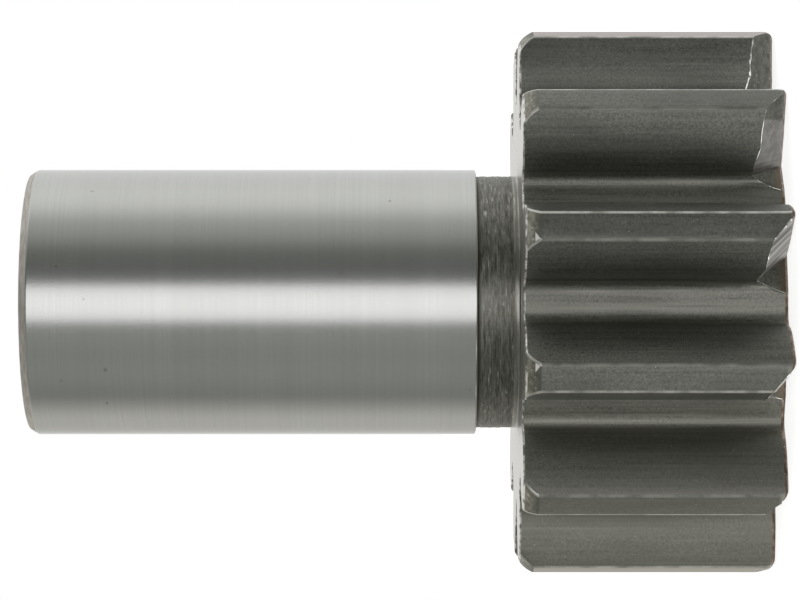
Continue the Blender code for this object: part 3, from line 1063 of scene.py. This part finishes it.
# %% Lead-ins, their floor and the burrs
STREAKS_PER_METRE = 1.3 / MM
STREAK_SLANT = -0.63
PLAIN_FROM = 9.0 * MM
PLAIN_FULL = 11.0 * MM
DARKER_FROM = 13.75 * MM
DARKER_FULL = 13.95 * MM
BROWN_FROM = 1.0 * MM
BROWN_FULL = 0.2 * MM

tree, shader = steel("milled", "#918F8A", 0.4)
streaks = from_shaft(tree, STREAKS_PER_METRE, slant=STREAK_SLANT, detail=3.0)
blots = grain(tree, (1.8, 1.8, 1.8), detail=3.0, seed=11.0)
chips = grain(tree, (4.5, 4.5, 4.5), detail=1.0, seed=19.0)
cut_colour = blend(tree, span(tree, streaks, 0.34, 0.66), "#4E4D49", "#C3C1BD")
blotted = blend(tree, span(tree, blots, 0.35, 0.65), "#84827F", "#9D9B98")
plain = span(tree, along(tree, "X"), PLAIN_FROM, PLAIN_FULL, 0.0, 0.85)
cut_colour = blend(tree, plain, cut_colour, blotted)
darker_near_tips = blend(tree, span(tree, blots, 0.35, 0.65), "#5F6059", "#787971")
near_tips_share = span(tree, along(tree, "X"), DARKER_FROM, DARKER_FULL)
cut_colour = blend(tree, near_tips_share, cut_colour, darker_near_tips)
feed(
    tree,
    shader,
    Base_Color=blend(tree, span(tree, chips, 0.71, 0.76), cut_colour, "#B9B7B0"),
    Roughness=span(tree, streaks, 0.3, 0.7, 0.36, 0.5),
)
bump(tree, shader, streaks, 0.02 * MM)

tree, shader = steel("floor", "#6A6A62", 0.45)
near_end = span(tree, along(tree, "Z"), BROWN_FROM, BROWN_FULL)
specks = grain(tree, (5.0, 5.0, 5.0), detail=2.0, seed=12.0)
floor_colour = blend(tree, span(tree, specks, 0.35, 0.65), "#5E5F57", "#75766E")
feed(tree, shader, Base_Color=blend(tree, near_end, floor_colour, "#776A5C"))

tree, shader = steel("burr", "#E4E3DD", 0.22)
torn = grain(tree, (4.0, 4.0, 4.0), detail=2.0, seed=22.0)
feed(tree, shader, Base_Color=blend(tree, span(tree, torn, 0.35, 0.6), "#E2E1DA", "#FCFBF6"))
print("materials:", len(pinion.data.materials))

# %% [markdown]
# ## The studio
#
# A bright cylinder shows its whole surroundings, squeezed into bands along its length, so the
# light here is planned as bands round the shaft line. Going round from the camera, the room is
# dim, dark just above the lamp, and pale beyond the sides. Each list starts at the camera and
# goes round to the far side, with one level for every fifteen degrees. Behind the pinion is
# white paper, which the camera sees, and which glossy and transmission rays see there as well,
# so the steel shows it along its outer edges.

# %% World
FRONT = 0.5
BAND_STEP = 15
ABOVE = [0.20, 0.07, 0.12, 0.16, 0.37, 0.46, 0.77, 0.85, 0.79, 0.79, 0.79, 0.79, 0.79]
BELOW = [0.20, 0.09, 0.29, 0.26, 0.29, 0.27, 0.21, 0.43, 0.58, 0.55, 0.58, 0.66, 0.79]
PLAIN = (1.0, 1.0, 1.0)
COOL = (0.99, 1.02, 0.97)
WARM = (1.01, 0.99, 0.95)
COOL_BELOW = 7
COOL_ABOVE = 6
PAPER_STARTS = 0.43
PAPER_FULL = 0.48

world = bpy.data.worlds.new("studio")
bpy.context.scene.world = world
world.use_nodes = True
tree = world.node_tree
tree.nodes.clear()
direction = add(tree, "ShaderNodeTexCoord")
split = add(tree, "ShaderNodeSeparateXYZ", {"Vector": direction.outputs["Generated"]})
facing = add(tree, "ShaderNodeMath", {0: split.outputs["Y"], 1: -1.0}, operation="MULTIPLY")
around = add(
    tree, "ShaderNodeMath", {0: split.outputs["X"], 1: facing.outputs[0]}, operation="ARCTAN2"
)
turn = add(
    tree, "ShaderNodeMath", {0: around.outputs[0], 1: 1 / (2 * math.pi)}, operation="MULTIPLY"
)
place = add(tree, "ShaderNodeMath", {0: turn.outputs[0], 1: FRONT}, operation="ADD")
bands = add(tree, "ShaderNodeValToRGB", {"Fac": place.outputs[0]})
ramp = bands.color_ramp
ramp.elements.remove(ramp.elements[-1])
bands_below = [(level, COOL if i < COOL_BELOW else WARM) for i, level in enumerate(BELOW)][1:]
bands_above = [(level, COOL if i < COOL_ABOVE else PLAIN) for i, level in enumerate(ABOVE)]
for i, (level, tint) in enumerate(bands_below[::-1] + bands_above):
    stop = ramp.elements[0] if i == 0 else ramp.elements.new(i * BAND_STEP / 360)
    stop.position = i * BAND_STEP / 360
    stop.color = [level * channel for channel in tint] + [1.0]

rays = add(tree, "ShaderNodeLightPath").outputs
away = add(tree, "ShaderNodeMath", {0: turn.outputs[0]}, operation="ABSOLUTE")
behind = span(tree, away.outputs[0], PAPER_STARTS, PAPER_FULL)
seen_in_steel = add(
    tree,
    "ShaderNodeMath",
    {0: rays["Is Glossy Ray"], 1: rays["Is Transmission Ray"]},
    operation="ADD",
)
paper = add(
    tree,
    "ShaderNodeMath",
    {0: seen_in_steel.outputs[0], 1: behind, 2: rays["Is Camera Ray"]},
    operation="MULTIPLY_ADD",
    use_clamp=True,
)
shown = blend(tree, paper.outputs[0], bands.outputs["Color"], "#FFFFFF")
sky = add(tree, "ShaderNodeBackground", {"Color": shown, "Strength": 1.0})
add(tree, "ShaderNodeOutputWorld", {"Surface": sky.outputs["Background"]})
print("bands in the room:", len(ramp.elements))


# %% [markdown]
# ## The lamps
#
# A long strip over the camera makes the bright line on the shank, and a wider panel, lower and
# to one side, fills the flanks that turn away from it. A panel is set by the level at which
# a mirror would show it, where 1 is white.

# %% Lamps
PEARL = (1.01, 0.995, 1.02)
LAMP_DISTANCE = 1.0


def panel(name, around, rise, width, length, radiance, tint=PLAIN):
    """A soft square-edged lamp that looks at the pinion.

    Around is its angle round the shaft line from the camera, rise its angle towards the shank.
    """
    across = math.cos(math.radians(rise))
    way = Vector(
        (
            math.sin(math.radians(around)) * across,
            -math.cos(math.radians(around)) * across,
            math.sin(math.radians(rise)),
        )
    )
    turned = (-way).to_track_quat("-Z", "Y").to_euler()
    middle = Vector((0, 0, TOTAL_LENGTH / 2))
    bpy.ops.object.light_add(type="AREA", location=middle + way * LAMP_DISTANCE, rotation=turned)
    lamp = bpy.context.object
    lamp.name = name
    lamp.data.shape = "RECTANGLE"
    lamp.data.size = width
    lamp.data.size_y = length
    lamp.data.energy = radiance * math.pi * width * length
    lamp.data.color = tint


panel("front_strip", around=-1.15, rise=0, width=0.56, length=1.6, radiance=1.12, tint=PEARL)
panel("low_fill", around=-60, rise=-40, width=1.3, length=0.6, radiance=1.35)

# %% [markdown]
# ## The floor
#
# The pinion stands on its toothed end, so the floor is seen edge on. It is white to the
# camera, with the pinion's shadow on it.

# %% Floor
FLOOR_SIZE = 4.0
FLOOR_GAP = 0.02 * MM

bpy.ops.mesh.primitive_plane_add(size=FLOOR_SIZE, location=(0, 0, -FLOOR_GAP))
floor = bpy.context.object
floor.name = "floor"
floor.visible_glossy = False
floor.visible_shadow = False
paint = bpy.data.materials.new("white_paper")
paint.use_nodes = True
tree = paint.node_tree
tree.nodes.clear()
rays = add(tree, "ShaderNodeLightPath")
matt = add(tree, "ShaderNodeBsdfDiffuse", {"Color": linear("#E8E8E6")})
glow = add(tree, "ShaderNodeEmission", {"Strength": 0.8})
both = add(tree, "ShaderNodeAddShader", {0: matt.outputs[0], 1: glow.outputs[0]})
seen = add(
    tree,
    "ShaderNodeMixShader",
    {"Fac": rays.outputs["Is Camera Ray"], 1: matt.outputs[0], 2: both.outputs[0]},
)
add(tree, "ShaderNodeOutputMaterial", {"Surface": seen.outputs[0]})
floor.data.materials.append(paint)

# %% [markdown]
# ## The camera
#
# The photograph was taken square to the shaft line, from about a hand's length away, with the
# camera turned on its side: the shank points left and the teeth stand at the right.

# %% Camera
UNIT = 0.0805 * MM
CAMERA_DISTANCE = 3350 * UNIT
CAMERA_HEIGHT = 29.45 * MM
AXIS_BELOW_CENTRE = 2 * UNIT
SENSOR_WIDTH = 36.0
IMAGE_WIDTH = 800

camera = bpy.data.objects.new("camera", bpy.data.cameras.new("camera"))
bpy.context.scene.collection.objects.link(camera)
camera.location = (AXIS_BELOW_CENTRE, -CAMERA_DISTANCE, CAMERA_HEIGHT)
camera.rotation_euler = Matrix(((0, 1, 0), (0, 0, -1), (-1, 0, 0))).to_euler()
camera.data.sensor_width = SENSOR_WIDTH
camera.data.lens = SENSOR_WIDTH * CAMERA_DISTANCE / (IMAGE_WIDTH * UNIT)
camera.data.clip_start = 0.01
bpy.context.scene.camera = camera
bpy.context.scene.view_settings.view_transform = "Standard"
print("lens:", round(camera.data.lens, 1), "mm")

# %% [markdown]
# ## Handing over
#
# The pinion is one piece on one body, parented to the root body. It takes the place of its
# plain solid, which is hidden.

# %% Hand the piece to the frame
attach(pinion, "root")
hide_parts(NODE)
